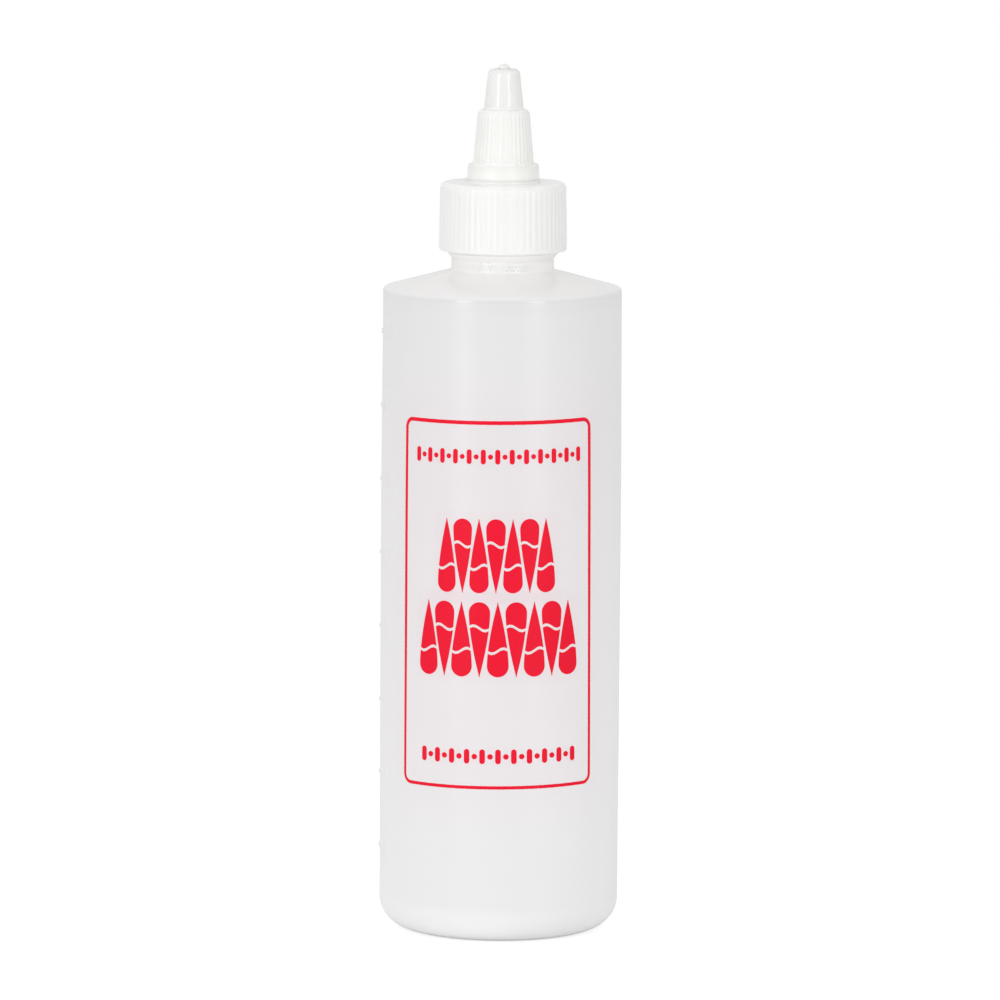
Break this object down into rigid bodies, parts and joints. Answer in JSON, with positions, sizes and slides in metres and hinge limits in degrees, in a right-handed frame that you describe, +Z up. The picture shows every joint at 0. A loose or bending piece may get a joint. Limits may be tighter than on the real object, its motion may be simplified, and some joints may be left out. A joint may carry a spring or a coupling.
{
  "type": "nail polish remover bottle",
  "caption": "Round squeeze bottle with a milky translucent body, raised volume marks, a ribbed screw closure and a slim twist-open spout with a centre sealing pin.",
  "frame": {"origin": "centre of the base, on the surface that the bottle stands on", "axes": "+Z up along the bottle's axis, -Y out of the printed front, volume marks on the -X side"},
  "size_m": [0.0511, 0.0512, 0.1836],
  "materials": {
    "natural_plastic": "milky translucent, satin",
    "closure_plastic": "satin white, injection moulded",
    "top_plastic": "satin warm white, injection moulded",
    "foam": "matt foam",
    "red_ink": "screen-printed red ink, satin"
  },
  "bodies": {
    "bottle": {"bottle": "natural_plastic", "printed_border": "red_ink"},
    "seal": {"sealing_gasket": "foam"},
    "closure": {"screw_closure": "closure_plastic"},
    "top": {"twist_top": "top_plastic"}
  },
  "joints": [
    {"name": "closure_lift", "type": "slide", "parent": "bottle", "child": "seal", "axis": [0, 0, 1], "range_m": [0, 0.00477]},
    {"name": "closure_turn", "type": "hinge", "parent": "seal", "child": "closure", "pos_m": [0, 0, 0.15], "axis": [0, 0, 1], "range_deg": [0, 540]},
    {"name": "top_lift", "type": "slide", "parent": "closure", "child": "top", "axis": [0, 0, 1], "range_m": [0, 0.003]}
  ],
  "couplings": [
    {"joint": "closure_lift", "follows": "closure_turn", "m_per_rad": 0.00050532}
  ]
}
